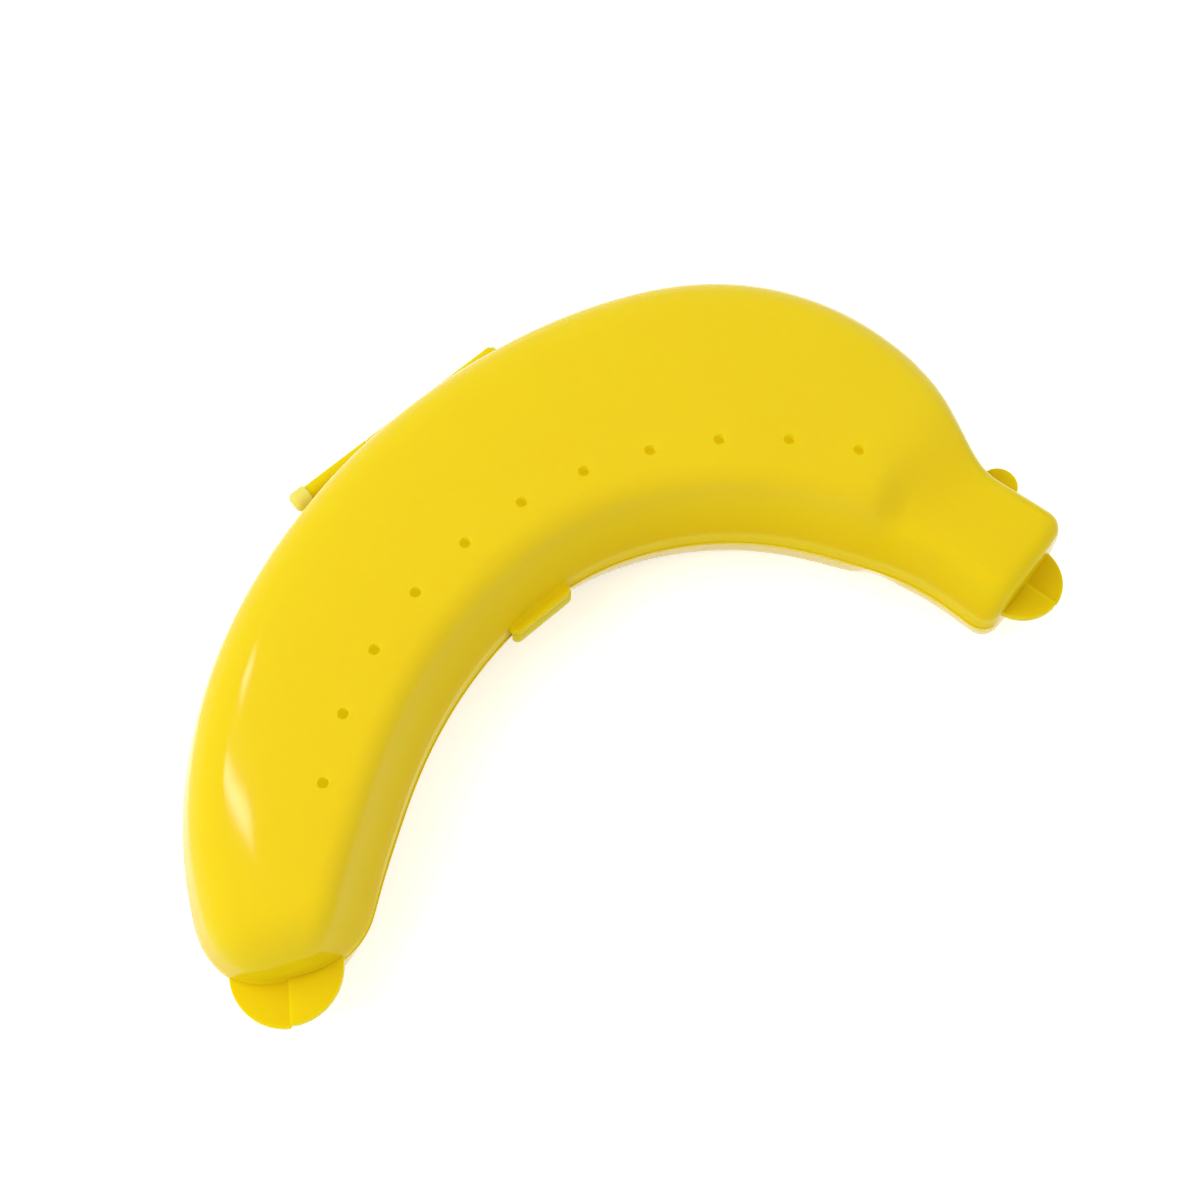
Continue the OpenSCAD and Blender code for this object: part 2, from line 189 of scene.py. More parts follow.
class CaseSizes(bpy.types.PropertyGroup):
    """Sizes of the case"""

    bend_radius: length("Bend radius", "Radius of the vent row about the bend centre", 0.103)
    shell_depth: length("Shell depth", "Depth of one shell from its rim to its flat", 0.024)
    wall: length("Wall", "Thickness of the shell wall", 0.0016)
    rim_gap: length("Rim gap", "Gap between the two rims when the case is closed", 0.0003)
    rim_band: length("Rim band", "Height of the upright band along the rim", 0.003)
    rim_reveal: length("Rim reveal", "How far the rim band stands back from the wall", 0.0004)
    rim_lip: length("Rim lip", "How far each rim reaches into the gap between the rims", 0.0001)
    wall_lean: FloatProperty(
        name="Wall lean",
        description="Lean of the side walls from upright",
        default=math.radians(17),
        subtype="ANGLE",
    )
    shoulder_radius: length("Outer shoulder", "Shoulder radius on the outer side of the bend", 0.014)
    inner_shoulder_radius: length("Inner shoulder", "Shoulder radius on the inner side of the bend", 0.007)
    crown: length("Crown", "Fall of the crown from the flat to the outer shoulder", 0.0018)
    flat_half: length("Half flat", "Half width of the flat strip that carries the vents", 0.003)
    tip_width: length("Tip width", "Rim width where the tip begins to close", 0.0434)
    hinge_width: length("Hinge width", "Rim width at the hinge", 0.0623)
    full_width: length("Full width", "Rim width at the widest place", 0.0706)
    stem_width: length("Stem width", "Rim width of the stem", 0.0364)
    stem_depth: length("Stem depth", "Depth of the stem part of one shell", 0.0165)
    stem_shoulder_radius: length("Stem shoulder", "Shoulder radius on the inner side of the stem", 0.004)
    stem_length: length("Stem length", "Straight length of the stem", 0.009)
    stem_round: length("Stem corner", "Corner radius at the end of the stem", 0.005)
    tip_round: length("Tip closing", "Length over which the tip closes", 0.018)
    vent: length("Vent", "Diameter of a vent", 0.0028)
    vent_lip: length("Vent lip", "Width of the soft lip around a vent", 0.0005)
    knuckle: length("Knuckle", "Outer diameter of a hinge knuckle", 0.0044)
    knuckle_gap: length("Knuckle gap", "Gap between neighbouring knuckles", 0.0004)
    hinge_clear: length("Hinge clearance", "Clearance between a knuckle and the other shell", 0.0004)
    pin: length("Pin", "Diameter of the hinge pin", 0.0022)
    pin_play: length("Pin play", "Radial play of the pin in the upper shell's knuckle", 0.00005)
    head_length: length("Pin head", "Length of the pin's button head", 0.0049)
    head_round: length("Pin head round", "Rounding of the pin's button head", 0.0016)
    tail: length("Pin tail", "Diameter of the pin's flattened tail", 0.0032)
    tail_length: length("Pin tail length", "Length of the pin's flattened tail", 0.001)
    tab: length("Tab thickness", "Thickness of the thumb tabs and the ear", 0.002)
    tip_tab: length("Tip tab", "Radius of the thumb tabs at the tip", 0.0136)
    stem_tab: length("Stem tab", "Radius of the thumb tabs at the stem", 0.011)
    slit: length("Tab slit", "Slit between the two tabs of a pair", 0.0012)
    tab_round: length("Tab corner", "Corner radius of a tab beside the slit", 0.0008)
    ear: length("Ear", "Radius of the ear at the neck", 0.005)
    tongue: length("Tongue", "Thickness of the snap tongue", 0.0016)
    latch_round: length("Latch corner", "Corner radius of the tongue and its ledge", 0.002)
    latch_edge: length("Latch edge", "Rounding along the outer edge of the tongue and its ledge", 0.001)
    latch_slot: length("Latch slot", "Slot between the tongue and its ledge", 0.0002)
    latch_rise: length("Latch rise", "Height of the hollow slope between the ledge and the wall", 0.004)
    ridge: length("Ridge", "Height of the ridge on the inside of the tongue", 0.0004)
    bead: length("Catch bead", "Radius of the catch bead on the lower shell", 0.0006)
    edge: length("Edge round", "Rounding of the edges of tabs, knuckles and ledges", 0.0004)


class CaseColours(bpy.types.PropertyGroup):
    """Colours of the case and its studio, linear"""

    shell: colour("Shell", "Glossy yellow of the shells", (0.85, 0.665, 0.006))
    # Painted shade near the parting line, and also the colour of the random cloudy tone
    shade_and_cloud: colour("Deep tone", "Warmer yellow of the walls near the parting line", (0.81, 0.52, 0.004))
    # Kept duller because a painted glow in this colour is added inside
    inside: colour("Inside", "Duller yellow of the inside, which light comes through", (0.6, 0.48, 0.004))
    pin: colour("Pin", "Paler yellow of the hinge pin", (0.86, 0.76, 0.16))
    floor: colour("Floor", "Pale studio floor", (0.9, 0.9, 0.9))


def ease(t):
    """Smooth step from 0 to 1"""
    c = min(max(t, 0.0), 1.0)
    return c * c * (3 - 2 * c)


def smooth_at(table, x):
    """Value at x of the smooth curve through a list of (position, value)"""
    last = len(table) - 1
    i = 0
    while i < last - 1 and x > table[i + 1][0]:
        i += 1

    def slope(k):
        a, b = table[max(k - 1, 0)], table[min(k + 1, last)]
        return (b[1] - a[1]) / (b[0] - a[0])

    width = table[i + 1][0] - table[i][0]
    t = (x - table[i][0]) / width
    start = table[i][1] * (2 * t**3 - 3 * t**2 + 1) + slope(i) * width * (t**3 - 2 * t**2 + t)
    end = table[i + 1][1] * (3 * t**2 - 2 * t**3) + slope(i + 1) * width * (t**3 - t**2)
    return start + end


def closing(distance, reach):
    """Share of the full size that is left at a distance from the closed tip"""
    t = min(max(distance / reach, TIP_LEAST), 1)
    return (1 - (1 - t) ** TIP_POWER) ** (1 / TIP_POWER)


class CaseForm:
    """The curved form that both shells share, worked out from the sizes"""

    def __init__(self, sizes):
        self.sizes = sizes
        self.per_metre = 180 / (math.pi * sizes.bend_radius)
        self.stem_end = STEM_ANGLE - sizes.stem_length * self.per_metre
        turn = math.radians(ORIGIN_ANGLE)
        self.centre = -sizes.bend_radius * Vector((math.cos(turn), math.sin(turn), 0))
        stem, full, hinge, tip = sizes.stem_width, sizes.full_width, sizes.hinge_width, sizes.tip_width
        self.rim_inner = [
            (self.stem_end, 0.518 * stem), (20, 0.49 * stem), (32, 0.256 * full), (53, 0.226 * full),
            (75, 0.246 * hinge), (100, 0.281 * hinge), (117, 0.283 * hinge),
            (132, 0.364 * tip), (145, 0.26 * tip), (TIP_ANGLE, 0.233 * tip),
        ]
        self.rim_outer = [
            (self.stem_end, 0.415 * stem), (13, 0.4 * stem), (18.5, 0.425 * stem), (22.7, 0.588 * stem),
            (27.7, 0.45 * full), (35.2, 0.609 * full), (45, 0.728 * full), (54, 0.765 * full),
            (65, 0.734 * full), (80, 0.762 * hinge), (100, 0.692 * hinge), (120, 0.637 * hinge),
            (135, 0.816 * tip), (145, 0.728 * tip), (TIP_ANGLE, 0.705 * tip),
        ]
        low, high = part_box("hinge_pin")
        self.axis_y = (low.y + high.y) / 2
        self.parting = (low.z + high.z) / 2
        self.barrel = (low.x + sizes.head_length, high.x - sizes.tail_length)
        self.hinge_flat = self.axis_y - self.centre.y - sizes.knuckle / 2 - sizes.hinge_clear

    def point(self, q, offset, height=0.0):
        """Place of a station angle and an offset outside the vent row"""
        a = max(q, STEM_ANGLE)
        along = (a - q) / self.per_metre
        c, s = math.cos(math.radians(a)), math.sin(math.radians(a))
        reach = self.sizes.bend_radius + offset
        return self.centre + Vector((reach * c + along * s, reach * s - along * c, height))

    def depth(self, q, offset):
        """Depth of the shell: the fall to the stem runs aslant across the neck"""
        side = min(max(offset, SLANT_INNER), SLANT_OUTER)
        low = NECK_LOW - LOW_SLANT * side
        high = NECK_HIGH - HIGH_SLANT * max(side, 0)
        s = self.sizes
        return s.stem_depth + (s.shell_depth - s.stem_depth) * ease((q - low) / (high - low))

    def flat_limit(self, q):
        """Largest offset of the rim band, which is flat beside the hinge"""
        if RECESS_FROM < q < RECESS_TO:
            return self.hinge_flat / math.sin(math.radians(q)) - self.sizes.bend_radius
        return self.sizes.bend_radius

    def section(self, q):
        """Offsets and heights over one shell at a station, from the outer rim to the inner rim"""
        s = self.sizes
        lean = s.wall_lean
        from_stem = (q - self.stem_end) / self.per_metre
        from_tip = math.radians(TIP_ANGLE - q) * (s.bend_radius + TIP_MID)
        edge = max(s.stem_round - from_stem, 0)
        pinch = s.stem_round - math.sqrt(max(s.stem_round**2 - edge**2, 0))
        body = ease((q - NECK_LOW) / (NECK_HIGH - NECK_LOW))
        top = self.depth(q, 0) - pinch
        at_tip = ease((q - TIP_ROOT_FROM) / (TIP_ROOT_TO - TIP_ROOT_FROM))
        foot = s.rim_band + (TAB_FOOT + s.tab / 2 - s.rim_band) * at_tip
        out = smooth_at(self.rim_outer, q) - pinch
        inner = smooth_at(self.rim_inner, q) - pinch

        fall = s.crown * (STEM_CROWN + (1 - STEM_CROWN) * body)
        r_out = s.shoulder_radius * (STEM_SHOULDER + (1 - STEM_SHOULDER) * body)
        tilt = math.atan(2 * fall / (out - s.flat_half - CROWN_STOP * r_out))
        z_out = top - fall - r_out * math.cos(tilt)
        x_out = out - (z_out + r_out * math.sin(lean) - foot) * math.tan(lean) - r_out * math.cos(lean)
        end_out = x_out + r_out * math.sin(tilt)

        strip = s.flat_half - STRIP_SHIFT * ease((q - STRIP_FROM) / (STRIP_TO - STRIP_FROM))
        room = math.cos(lean) - math.tan(lean) * (1 - math.sin(lean))
        most = (inner - strip - (top - foot) * math.tan(lean)) / room
        r_in = s.stem_shoulder_radius + (s.inner_shoulder_radius - s.stem_shoulder_radius) * body
        r_in = min(most, r_in)
        z_in = top - r_in
        x_in = inner - (z_in + r_in * math.sin(lean) - foot) * math.tan(lean) - r_in * math.cos(lean)

        upper = [(out, foot)]
        for k in range(OUTER_STEPS + 1):
            a = lean + (math.pi / 2 - tilt - lean) * k / OUTER_STEPS
            upper.append((x_out + r_out * math.cos(a), z_out + r_out * math.sin(a)))
        for k in range(1, CROWN_STEPS):
            t = 1 - k / CROWN_STEPS
            upper.append((s.flat_half + (end_out - s.flat_half) * t, top - fall * t * t))
        upper.append((s.flat_half, top))
        for k in range(INNER_STEPS, -1, -1):
            a = lean + (math.pi / 2 - lean) * k / INNER_STEPS
            upper.append((-x_in - r_in * math.cos(a), z_in + r_in * math.sin(a)))
        upper.append((-inner, foot))

        mid = (out - inner) / 2
        narrow = closing(from_tip, s.tip_round)
        low = closing(from_tip, TIP_LOW * s.tip_round)
        closed = []
        for offset, height in upper:
            slant = (self.depth(q, offset) - pinch - foot) / (top - foot)
            closed.append((mid + (offset - mid) * narrow, foot + (height - foot) * slant * low))
        rim_out = mid + (min(out - s.rim_reveal, self.flat_limit(q)) - mid) * narrow
        rim_in = mid - (inner - s.rim_reveal + mid) * narrow
        return [(rim_out, -s.rim_lip), (rim_out, foot), *closed, (rim_in, foot), (rim_in, -s.rim_lip)]

    def stations(self):
        """Station angles from the stem end to the tip, with a vent in the middle of every second step"""
        s = self.sizes
        ends = [self.stem_end + share * s.stem_round * self.per_metre for share in STEM_SHARES]
        body = [FIRST_VENT + VENT_STEP / 4 + k * VENT_STEP / 2 for k in range(2 * VENT_COUNT)]
        per_metre = 180 / (math.pi * (s.bend_radius + TIP_MID))
        tip = [TIP_ANGLE - share * s.tip_round * per_metre for share in TIP_SHARES]
        return [*ends, *NECK_STATIONS, *body, (body[-1] + tip[0]) / 2, *tip]

    def outline(self):
        """Points of the rim in plan"""
        ends = [(q, self.section(q)) for q in self.stations()]
        outer = [self.point(q, points[0][0]) for q, points in ends]
        inner = [self.point(q, points[-1][0]) for q, points in ends]
        return outer + inner[::-1]


def to_mesh(bm, name):
    """Writes a bmesh to a new mesh and frees it"""
    mesh = bpy.data.meshes.new(name)
    bm.to_mesh(mesh)
    bm.free()
    return mesh


def in_scene(mesh):
    """A new object for a mesh, linked to the scene"""
    made = bpy.data.objects.new(mesh.name, mesh)
    bpy.context.scene.collection.objects.link(made)
    return made


def applied(made):
    """The mesh of an object with its modifiers applied; the object goes"""
    bpy.context.view_layer.update()
    graph = bpy.context.evaluated_depsgraph_get()
    mesh = bpy.data.meshes.new_from_object(made.evaluated_get(graph))
    source = made.data
    bpy.data.objects.remove(made)
    bpy.data.meshes.remove(source)
    return mesh


def joined(meshes):
    """One bmesh with all the meshes, which go"""
    bm = bmesh.new()
    for mesh in meshes:
        bm.from_mesh(mesh)
        bpy.data.meshes.remove(mesh)
    return bm


def combined(mesh, other, operation):
    """The mesh with the solids of another one added (UNION) or taken away (DIFFERENCE)"""
    made, tool = in_scene(mesh), in_scene(other)
    change = made.modifiers.new("combine", "BOOLEAN")
    change.operation = operation
    change.solver = "EXACT"
    change.use_self = operation == "UNION"
    change.object = tool
    result = applied(made)
    bpy.data.objects.remove(tool)
    bpy.data.meshes.remove(other)
    return result


def extruded(bm, height):
    """Gives every face of a flat bmesh a thickness along Z"""
    grown = bmesh.ops.extrude_face_region(bm, geom=bm.faces[:])
    moved = [v for v in grown["geom"] if isinstance(v, bmesh.types.BMVert)]
    bmesh.ops.translate(bm, vec=(0, 0, height), verts=moved)
    bmesh.ops.recalc_face_normals(bm, faces=bm.faces[:])


def bevelled(bm, edges, width, segments=6):
    """Rounds some edges"""
    bmesh.ops.bevel(
        bm,
        geom=edges,
        offset=width,
        offset_type="OFFSET",
        segments=segments,
        profile=0.5,
        affect="EDGES",
        clamp_overlap=True,
        material=-1,
    )


def rounded(bm, width, angle=math.radians(50)):
    """Rounds every edge that turns by more than an angle"""
    sharp = [e for e in bm.edges if len(e.link_faces) == 2 and e.calc_face_angle() > angle]
    bevelled(bm, sharp, width, segments=3)


def upright(edge):
    """True for an edge along Z"""
    along = edge.verts[1].co - edge.verts[0].co
    return abs(along.z) > along.to_2d().length


def box_mesh(low, high):
    """A box between two corners"""
    bm = bmesh.new()
    low, high = Vector(low), Vector(high)
    size = high - low
    place = Matrix.Translation((low + high) / 2) @ Matrix.Diagonal((*size, 1))
    bmesh.ops.create_cube(bm, size=1, matrix=place)
    return to_mesh(bm, "box")


def plate_mesh(outline, place, thickness):
    """A flat plate from an outline on the XY plane, put in its place"""
    bm = bmesh.new()
    ring = bmesh.ops.create_circle(bm, cap_ends=True, radius=1, segments=len(outline))["verts"]
    for v, point in zip(ring, outline):
        v.co = point
    extruded(bm, thickness)
    bmesh.ops.transform(bm, matrix=place, verts=bm.verts[:])
    return to_mesh(bm, "plate")


def arc(x, y, radius, first, last, steps):
    """Points on an arc about (x, y), from a first to a last direction"""
    turns = [first + (last - first) * k / steps for k in range(steps + 1)]
    return [Vector((x + radius * math.cos(t), y + radius * math.sin(t), 0)) for t in turns]


def tab_outline(radius, start, corner, side):
    """The part of a disc beyond a line along X, with round corners; side is 1 for +Y and -1 for -Y"""
    across = math.sqrt((radius - corner) ** 2 - (start + corner) ** 2)
    turn = math.atan2(start + corner, across)
    points = arc(across, start + corner, corner, -math.pi / 2, turn, 5)
    points += arc(0, 0, radius, turn, math.pi - turn, 60)[1:-1]
    points += arc(-across, start + corner, corner, math.pi - turn, 3 * math.pi / 2, 5)
    return [Vector((p.x, side * p.y, 0)) for p in points]


def tip_tab_mesh(form, start, side):
    """A thumb tab at the tip, on one side of the slit"""
    s = form.sizes
    place = Matrix.Translation(form.point(TIP_TAB_ANGLE, TIP_TAB_OFFSET, TAB_FOOT))
    place @= Matrix.Rotation(TIP_TAB_TURN, 4, "Z")
    return plate_mesh(tab_outline(s.tip_tab, start, s.tab_round, side), place, s.tab)


def stem_tab_mesh(form, start, side):
    """A thumb tab at the stem, on one side of the slit"""
    s = form.sizes
    angle = form.stem_end + STEM_TAB_BACK * form.per_metre
    place = Matrix.Translation(form.point(angle, STEM_TAB_OFFSET, TAB_FOOT))
    place @= Matrix.Rotation(STEM_TAB_TURN, 4, "Z")
    return plate_mesh(tab_outline(s.stem_tab, start, s.tab_round, side), place, s.tab)


def ear_mesh(form):
    """The round ear beside the stem"""
    s = form.sizes
    place = Matrix.Translation(form.point(EAR_ANGLE, EAR_OFFSET * s.stem_width, TAB_FOOT))
    return plate_mesh(arc(0, 0, s.ear, 0, math.tau, 64)[:-1], place, s.tab)


def lathe_mesh(profile, centre, steps=48, ring=False):
    """A turned solid about an axis along X, from a profile of (distance along X, radius)"""
    bm = bmesh.new()
    verts = [bm.verts.new((x, centre[0] + r, centre[1])) for x, r in profile]
    pairs = list(zip(verts, verts[1:]))
    if ring:
        pairs.append((verts[-1], verts[0]))
    edges = [bm.edges.new(pair) for pair in pairs]
    bmesh.ops.spin(
        bm,
        geom=[*verts, *edges],
        cent=(0, *centre),
        axis=(1, 0, 0),
        angle=math.tau,
        steps=steps,
        use_merge=True,
    )
    bmesh.ops.remove_doubles(bm, verts=bm.verts[:], dist=EXACT)
    bmesh.ops.recalc_face_normals(bm, faces=bm.faces[:])
    return to_mesh(bm, "turned")


def rod_mesh(middle, half, radius, taper, centre):
    """A round rod along X with tapered ends"""
    start, end = middle - half, middle + half
    profile = [(start, 0), (start, radius / 2), (start + taper, radius)]
    profile += [(end - taper, radius), (end, radius / 2), (end, 0)]
    return lathe_mesh(profile, centre, steps=24)


def open_vent(bm, form, q, corners):
    """Opens a vent between four corners of the skin: two rings, with the inner one open"""
    s = form.sizes
    face = next(f for f in corners[0].link_faces if all(c in f.verts for c in corners))
    centre = form.point(q, 0, s.shell_depth)
    out = (form.point(q, s.vent) - form.point(q, 0)).normalized()
    along = Vector((-out.y, out.x, 0))
    for radius in (s.vent / 2 + s.vent_lip, s.vent / 2):
        bmesh.ops.inset_individual(bm, faces=[face], thickness=s.vent_lip)
        reach = RING_WIDENING * radius / math.sqrt(2)
        for v in face.verts:
            away = v.co - centre
            side = math.copysign(reach, away.dot(out)) * out
            v.co = centre + side + math.copysign(reach, away.dot(along)) * along
    bmesh.ops.delete(bm, geom=[face], context="FACES_ONLY")


def skin_mesh(form):
    """One shell with its rim on the XY plane: a lofted skin with vents, thickened and smoothed"""
    s = form.sizes
    stations = form.stations()
    sections = [form.section(q) for q in stations]
    rows, columns = len(stations), len(sections[0])
    bm = bmesh.new()
    bmesh.ops.create_grid(bm, x_segments=columns - 1, y_segments=rows - 1, size=0.5)
    grid = {}
    for v in bm.verts:
        column = round((v.co.x + 0.5) * (columns - 1))
        row = round((v.co.y + 0.5) * (rows - 1))
        grid[row, column] = v
    for (row, column), v in grid.items():
        offset, height = sections[row][column]
        v.co = form.point(stations[row], offset, height)

    # Close the stem end and the tip across their section
    for row in (0, rows - 1):
        chain = [grid[row, k] for k in range(columns)]
        half = columns // 2
        edges = []
        for part in (chain[:half], chain[half:]):
            edges += [bm.edges.get(pair) for pair in zip(part, part[1:])]
        bmesh.ops.bridge_loops(bm, edges=edges)
    bmesh.ops.recalc_face_normals(bm, faces=bm.faces[:])
    bm.normal_update()
    middle = grid[rows // 2, STRIP_COLUMN]
    if middle.normal.z < 0:
        bmesh.ops.reverse_faces(bm, faces=bm.faces[:])

    # Keep the step above the rim band crisp
    crease = bm.edges.layers.float.new("crease_edge")
    for row in range(rows - 1):
        for column in (1, 2, columns - 3, columns - 2):
            bm.edges.get((grid[row, column], grid[row + 1, column]))[crease] = STEP_CREASE

    for k in range(VENT_COUNT):
        q = FIRST_VENT + VENT_STEP * (k + 0.5)
        row = max(i for i in range(rows) if stations[i] < q)
        open_vent(bm, form, q, [grid[row + i, STRIP_COLUMN + j] for i in (0, 1) for j in (0, 1)])

    made = in_scene(to_mesh(bm, "skin"))
    for material in shell_plastics(form):
        made.data.materials.append(material)
    thick = made.modifiers.new("thickness", "SOLIDIFY")
    thick.thickness = s.wall
    thick.offset = -1
    thick.use_even_offset = True
    thick.material_offset = 1
    thick.material_offset_rim = 1
    thick.edge_crease_outer = OUTER_CREASE
    thick.edge_crease_inner = INNER_CREASE
    smooth = made.modifiers.new("smooth", "SUBSURF")
    smooth.levels = 2
    smooth.render_levels = 2
    return applied(made)


def rim_cutter(form):
    """A prism just outside the wall's inner face, which cuts plates to the outside of a shell"""
    s = form.sizes
    outline = form.outline()
    bm = bmesh.new()
    ring = bmesh.ops.create_circle(bm, cap_ends=True, radius=1, segments=len(outline))["verts"]
    for v, place in zip(ring, outline):
        v.co = place - Vector((0, 0, s.shell_depth))
    face = bm.faces[:][0]
    inset = {"thickness": ROOT_SHARE * s.wall, "use_boundary": True, "use_even_offset": True}
    edging = bmesh.ops.inset_region(bm, faces=[face], **inset)["faces"]
    bmesh.ops.delete(bm, geom=edging, context="FACES")
    extruded(bm, 2 * s.shell_depth)
    return to_mesh(bm, "cutter")


def knuckle_mesh(form, start, end, bore):
    """A knuckle tube on the hinge line of a shell that has its rim on the XY plane"""
    s = form.sizes
    r = s.knuckle / 2
    e = s.edge / 2
    profile = [(start, bore), (start, r - e), (start + e, r), (end - e, r), (end, r - e), (end, bore)]
    return lathe_mesh(profile, (form.axis_y, -s.rim_gap / 2), ring=True)


def web_mesh(form, start, end):
    """The web between a knuckle and the wall, uncut"""
    s = form.sizes
    reach = 4 * s.knuckle
    low = (start, form.axis_y - reach, TAB_FOOT)
    high = (end, form.axis_y, s.knuckle / 2 - s.rim_gap)
    return box_mesh(low, high)


def knuckle_spans(form):
    """Start and end along X of the three knuckles"""
    gap = form.sizes.knuckle_gap
    start, end = form.barrel
    span = (end - start - 2 * gap) / 3
    return [(start + k * (span + gap), start + k * (span + gap) + span) for k in range(3)]


def shell_object(name, form, plates, extras, mirrored):
    """A whole shell from its skin, the plates outside its rim and solids that need no cut"""
    s = form.sizes
    bm = joined([combined(to_mesh(joined(plates), "plates"), rim_cutter(form), "DIFFERENCE")])
    bmesh.ops.remove_doubles(bm, verts=bm.verts[:], dist=EXACT)
    rounded(bm, s.edge)
    solids = joined([to_mesh(bm, "plates"), *extras])
    bm = joined([combined(skin_mesh(form), to_mesh(solids, "solids"), "UNION")])
    if mirrored:
        bmesh.ops.scale(bm, vec=(1, 1, -1), verts=bm.verts[:])
        bmesh.ops.reverse_faces(bm, faces=bm.faces[:])
    side = -1 if mirrored else 1
    bmesh.ops.translate(bm, vec=(0, 0, form.parting + side * s.rim_gap / 2), verts=bm.verts[:])
    made = finished(bm, name)
    for material in shell_plastics(form):
        made.data.materials.append(material)
    return made


def finished(bm, name, angle=math.radians(35)):
    """An object from a bmesh, smooth up to an angle"""
    if not bm.faces:
        raise RuntimeError(f"{name} has no faces")
    mesh = to_mesh(bm, name)
    mesh.shade_smooth()
    mesh.set_sharp_from_angle(angle=angle)
    return in_scene(mesh)


def tongue_span():
    """Low corner and high corner of the snap tongue without its ridge"""
    low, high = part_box("latch_tongue")
    sizes = bpy.context.scene.case_sizes
    return low, Vector((high.x, low.y + sizes.tongue, high.z))


def add_node(tree, kind, inputs=None, **settings):
    """A node with its settings; inputs are values or sockets to link from"""
    made = tree.nodes.new(kind)
    for name, value in settings.items():
        setattr(made, name, value)
    for name, value in (inputs or {}).items():
        if isinstance(value, bpy.types.NodeSocket):
            tree.links.new(value, made.inputs[name])
        else:
            made.inputs[name].default_value = value
    return made


def maths(tree, operation, *values):
    """Result of a math node; values are numbers or sockets"""
    return add_node(tree, "ShaderNodeMath", dict(enumerate(values)), operation=operation).outputs[0]


def noise(tree, place, scale, detail, distortion=0.0):
    """Noise from 0 to 1 at a place"""
    inputs = {"Vector": place, "Scale": scale, "Detail": detail, "Distortion": distortion}
    return add_node(tree, "ShaderNodeTexNoise", inputs).outputs[0]


def ranged(tree, value, source, target, interpolation="LINEAR"):
    """A value carried from one range to another"""
    inputs = {"Value": value, "From Min": source[0], "From Max": source[1]}
    inputs |= {"To Min": target[0], "To Max": target[1]}
    made = add_node(tree, "ShaderNodeMapRange", inputs, interpolation_type=interpolation)
    return made.outputs["Result"]


def moulded_group():
    """Node group: colour with painted shade near the parting line, roughness, gloss and relief of moulded
    plastic, from object coordinates
    """
    name = "MouldedPlastic"
    if name in bpy.data.node_groups:
        return bpy.data.node_groups[name]
    tree = bpy.data.node_groups.new(name, "ShaderNodeTree")
    for label in ("Clear", "Deep"):
        tree.interface.new_socket(name=label, in_out="INPUT", socket_type="NodeSocketColor")
    for label in ("Rough", "Parting"):
        tree.interface.new_socket(name=label, in_out="INPUT", socket_type="NodeSocketFloat")
    tree.interface.new_socket(name="Colour", in_out="OUTPUT", socket_type="NodeSocketColor")
    for label in ("Roughness", "Gloss", "Relief"):
        tree.interface.new_socket(name=label, in_out="OUTPUT", socket_type="NodeSocketFloat")
    source = tree.nodes.new("NodeGroupInput").outputs
    sink = tree.nodes.new("NodeGroupOutput").inputs
    place = add_node(tree, "ShaderNodeTexCoord").outputs["Object"]
    cloud = noise(tree, place, scale=26.0, detail=3.0)
    flow = noise(tree, place, scale=90.0, detail=5.0, distortion=1.4)
    grain = noise(tree, place, scale=900.0, detail=2.0)

    # Height from the parting line, on either side of it
    height = add_node(tree, "ShaderNodeSeparateXYZ", {"Vector": place}).outputs["Z"]
    above = maths(tree, "SUBTRACT", height, source["Parting"])
    below = maths(tree, "MULTIPLY", above, -LOWER_SHARE)
    away = maths(tree, "MAXIMUM", above, below)

    # Warmer in random clouds, and darker and warmer as painted shade on the walls near the parting line, but
    # not on the tabs beside it
    near = ranged(tree, away, SHADE_HEIGHTS, SHADE_SHARES, "SMOOTHSTEP")
    band = ranged(tree, away, BAND_HEIGHTS, (0.0, 1.0), "SMOOTHSTEP")
    painted_shade = maths(tree, "MULTIPLY", near, band)
    tone = ranged(tree, cloud, (0.35, 0.7), (0.0, 0.1))
    mixed = add_node(tree, "ShaderNodeMix", {"Factor": maths(tree, "ADD", painted_shade, tone)}, data_type="RGBA")
    tree.links.new(source["Clear"], next(i for i in mixed.inputs if i.name == "A" and i.type == "RGBA"))
    tree.links.new(source["Deep"], next(i for i in mixed.inputs if i.name == "B" and i.type == "RGBA"))
    tree.links.new(next(o for o in mixed.outputs if o.type == "RGBA"), sink["Colour"])

    uneven = ranged(tree, flow, (0.3, 0.75), (-0.02, 0.03))
    tree.links.new(maths(tree, "ADD", source["Rough"], uneven), sink["Roughness"])
    tree.links.new(ranged(tree, away, GLOSS_HEIGHTS, GLOSS_SHARES, "SMOOTHSTEP"), sink["Gloss"])
    tree.links.new(maths(tree, "MULTIPLY_ADD", grain, 0.15, cloud), sink["Relief"])
    return tree


